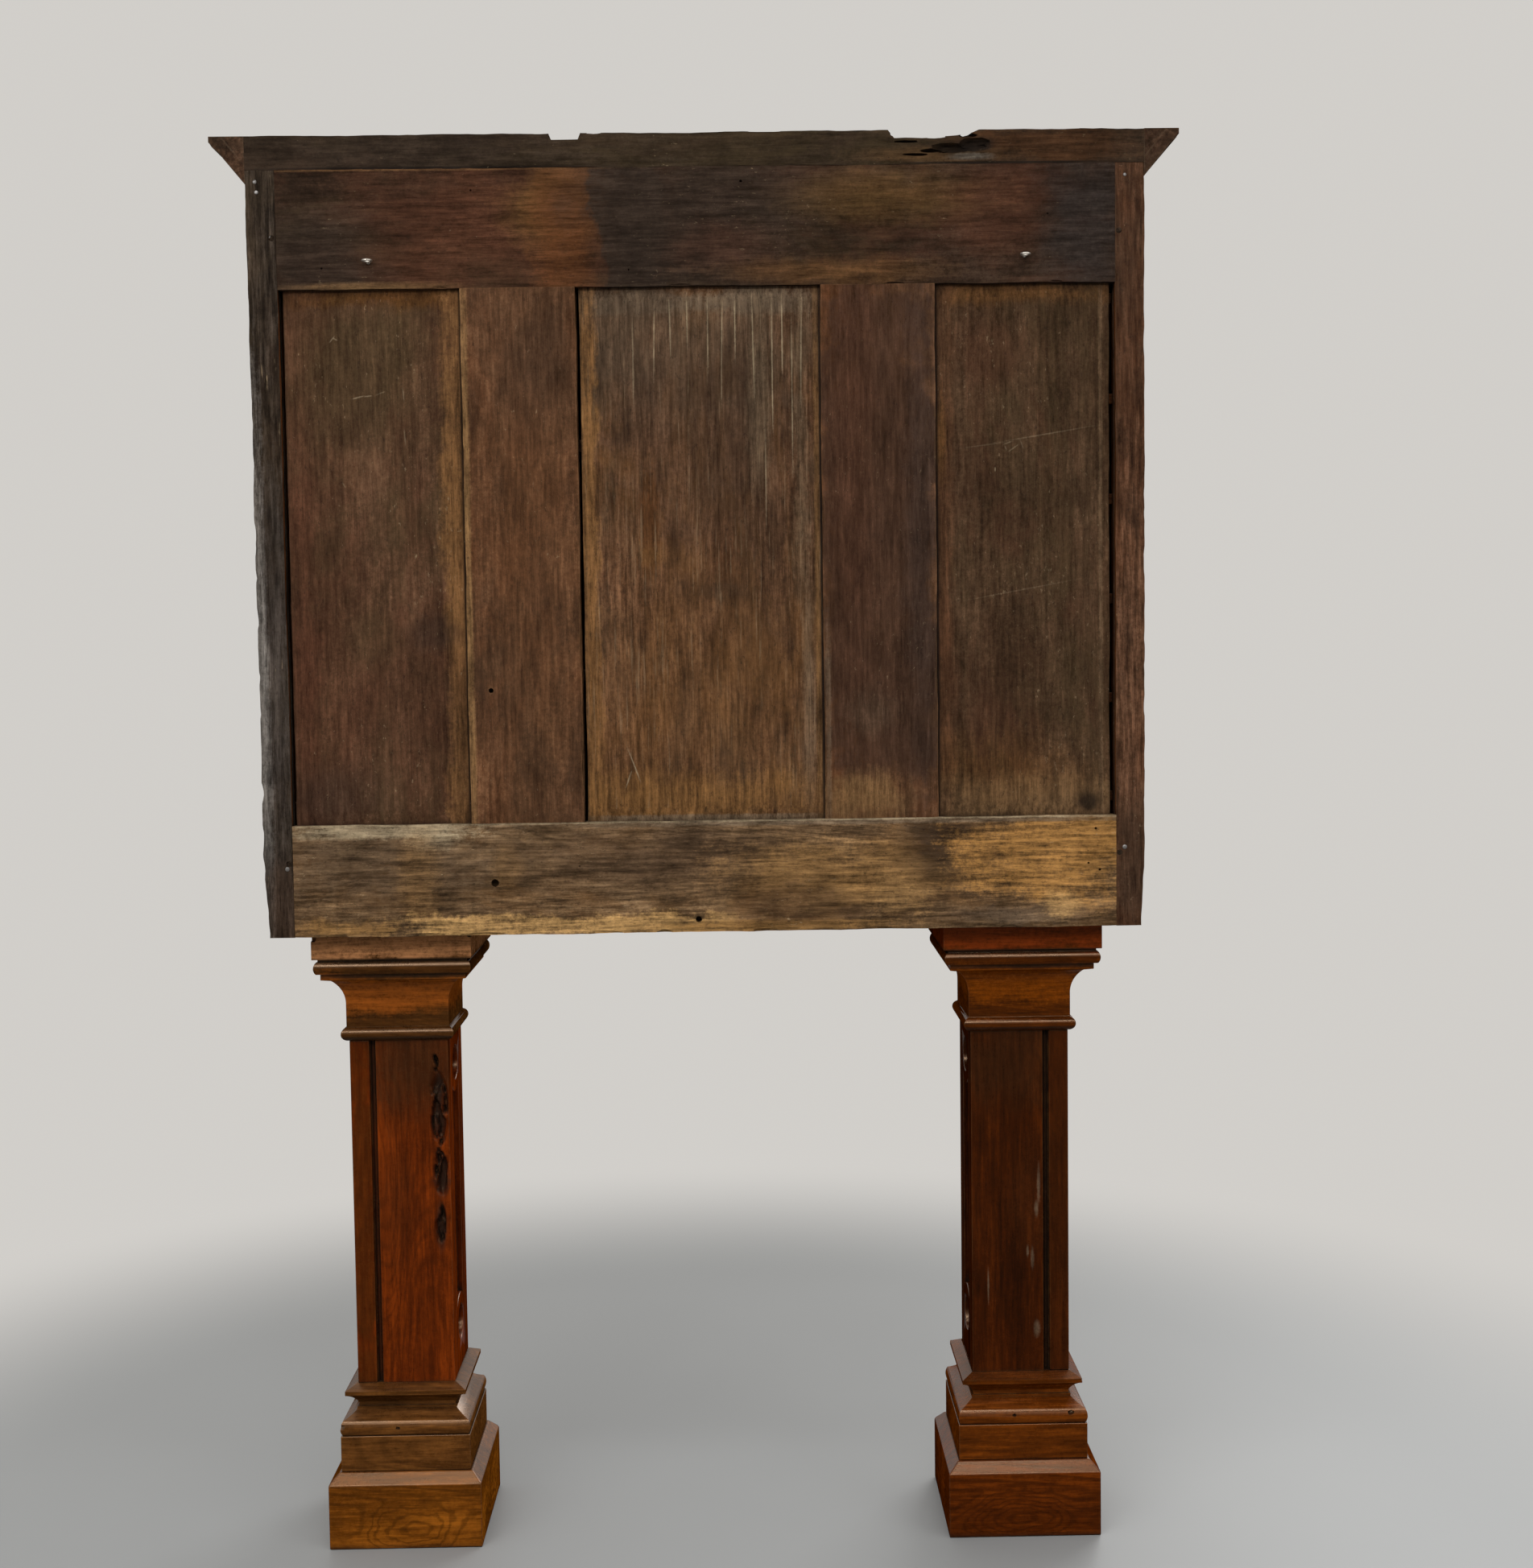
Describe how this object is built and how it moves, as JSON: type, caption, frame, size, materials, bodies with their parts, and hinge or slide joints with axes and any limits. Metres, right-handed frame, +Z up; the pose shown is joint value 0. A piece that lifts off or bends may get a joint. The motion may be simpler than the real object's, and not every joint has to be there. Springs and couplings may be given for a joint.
{
  "type": "coin cabinet",
  "caption": "Wooden coin cabinet raised on square moulded pillars, with small drawers either side of an arched panelled door, a crown cornice and a framed panel back.",
  "frame": {"origin": "on the floor, under the middle of the whole piece's bounding box", "axes": "+Z up; the drawers and door face -Y and the framed back faces +Y; +X to the right seen from the front"},
  "size_m": [1.128, 0.3203, 1.697],
  "materials": {
    "pillar_walnut": "old polished walnut, worn at the arrises",
    "case_walnut": "dark aged walnut, waxed outside and dry inside",
    "front_walnut": "polished walnut",
    "panel_walnut": "figured walnut, polished",
    "drawer_walnut": "polished front, dry sides",
    "back_panel_wood": "unpolished, stained brown with age",
    "back_frame_wood": "unpolished, nearly black with age",
    "brass": "dulled",
    "iron": "wrought, worn bright"
  },
  "bodies": {
    "cabinet": {"left_pillar_plinth": "pillar_walnut", "left_pillar_die": "pillar_walnut", "left_pillar_base_moulding": "pillar_walnut", "left_pillar_outer_board": "pillar_walnut", "left_pillar_inner_board": "pillar_walnut", "left_pillar_front_board": "pillar_walnut", "left_pillar_back_board": "pillar_walnut", "left_pillar_capital": "pillar_walnut", "left_side": "case_walnut", "left_partition": "front_walnut", "cornice_left_return": "front_walnut", "left_back_panel": "back_panel_wood", "right_pillar_plinth": "pillar_walnut", "right_pillar_die": "pillar_walnut", "right_pillar_base_moulding": "pillar_walnut", "right_pillar_outer_board": "pillar_walnut", "right_pillar_inner_board": "pillar_walnut", "right_pillar_front_board": "pillar_walnut", "right_pillar_back_board": "pillar_walnut", "right_pillar_capital": "pillar_walnut", "right_side": "case_walnut", "right_partition": "front_walnut", "cornice_right_return": "front_walnut", "right_back_panel": "back_panel_wood", "centre_back_panel": "back_panel_wood", "back_top_rail": "back_frame_wood", "back_bottom_rail": "back_frame_wood", "back_muntins": "back_frame_wood", "cornice_back_rail": "back_frame_wood", "bottom_board": "case_walnut", "top_board": "case_walnut", "wooden_pegs": "case_walnut", "drawer_shelves": "front_walnut", "centre_shelves": "front_walnut", "cornice_front": "front_walnut", "base_moulding": "front_walnut", "pilasters": "front_walnut", "wall_eyes": "iron", "jamb_hinge_leaves": "brass", "hinge_pins": "brass"},
    "door": {"door_frame": "front_walnut", "door_panels": "panel_walnut", "door_hinge_leaves": "brass", "lock_fittings": "brass"},
    "lock_bolt": {"lock_bolt": "iron"},
    "key": {"key": "iron"},
    "left_drawer_1": {"left_drawer_1": "drawer_walnut"},
    "left_drawer_2": {"left_drawer_2": "drawer_walnut"},
    "left_drawer_3": {"left_drawer_3": "drawer_walnut"},
    "left_drawer_4": {"left_drawer_4": "drawer_walnut"},
    "left_drawer_5": {"left_drawer_5": "drawer_walnut"},
    "left_drawer_6": {"left_drawer_6": "drawer_walnut"},
    "left_drawer_7": {"left_drawer_7": "drawer_walnut"},
    "right_drawer_1": {"right_drawer_1": "drawer_walnut"},
    "right_drawer_2": {"right_drawer_2": "drawer_walnut"},
    "right_drawer_3": {"right_drawer_3": "drawer_walnut"},
    "right_drawer_4": {"right_drawer_4": "drawer_walnut"},
    "right_drawer_5": {"right_drawer_5": "drawer_walnut"},
    "right_drawer_6": {"right_drawer_6": "drawer_walnut"},
    "right_drawer_7": {"right_drawer_7": "drawer_walnut"}
  },
  "joints": [
    {"name": "door_hinge", "type": "hinge", "parent": "cabinet", "child": "door", "pos_m": [-0.1485, -0.12515, 1.21], "axis": [0, 0, -1], "range_deg": [0, 95]},
    {"name": "key_turn", "type": "hinge", "parent": "door", "child": "key", "pos_m": [0.125, -0.11915, 1.21], "axis": [0, 1, 0], "range_deg": [0, 90]},
    {"name": "bolt_slide", "type": "slide", "parent": "door", "child": "lock_bolt", "axis": [1, 0, 0], "range_m": [0, 0.0127]},
    {"name": "left_drawer_1_slide", "type": "slide", "parent": "cabinet", "child": "left_drawer_1", "axis": [0, -1, 0], "range_m": [0, 0.17]},
    {"name": "left_drawer_2_slide", "type": "slide", "parent": "cabinet", "child": "left_drawer_2", "axis": [0, -1, 0], "range_m": [0, 0.17]},
    {"name": "left_drawer_3_slide", "type": "slide", "parent": "cabinet", "child": "left_drawer_3", "axis": [0, -1, 0], "range_m": [0, 0.17]},
    {"name": "left_drawer_4_slide", "type": "slide", "parent": "cabinet", "child": "left_drawer_4", "axis": [0, -1, 0], "range_m": [0, 0.17]},
    {"name": "left_drawer_5_slide", "type": "slide", "parent": "cabinet", "child": "left_drawer_5", "axis": [0, -1, 0], "range_m": [0, 0.17]},
    {"name": "left_drawer_6_slide", "type": "slide", "parent": "cabinet", "child": "left_drawer_6", "axis": [0, -1, 0], "range_m": [0, 0.17]},
    {"name": "left_drawer_7_slide", "type": "slide", "parent": "cabinet", "child": "left_drawer_7", "axis": [0, -1, 0], "range_m": [0, 0.17]},
    {"name": "right_drawer_1_slide", "type": "slide", "parent": "cabinet", "child": "right_drawer_1", "axis": [0, -1, 0], "range_m": [0, 0.17]},
    {"name": "right_drawer_2_slide", "type": "slide", "parent": "cabinet", "child": "right_drawer_2", "axis": [0, -1, 0], "range_m": [0, 0.17]},
    {"name": "right_drawer_3_slide", "type": "slide", "parent": "cabinet", "child": "right_drawer_3", "axis": [0, -1, 0], "range_m": [0, 0.17]},
    {"name": "right_drawer_4_slide", "type": "slide", "parent": "cabinet", "child": "right_drawer_4", "axis": [0, -1, 0], "range_m": [0, 0.17]},
    {"name": "right_drawer_5_slide", "type": "slide", "parent": "cabinet", "child": "right_drawer_5", "axis": [0, -1, 0], "range_m": [0, 0.17]},
    {"name": "right_drawer_6_slide", "type": "slide", "parent": "cabinet", "child": "right_drawer_6", "axis": [0, -1, 0], "range_m": [0, 0.17]},
    {"name": "right_drawer_7_slide", "type": "slide", "parent": "cabinet", "child": "right_drawer_7", "axis": [0, -1, 0], "range_m": [0, 0.17]}
  ],
  "couplings": [
    {"joint": "key_turn", "follows": "bolt_slide", "rad_per_m": 123.6}
  ]
}
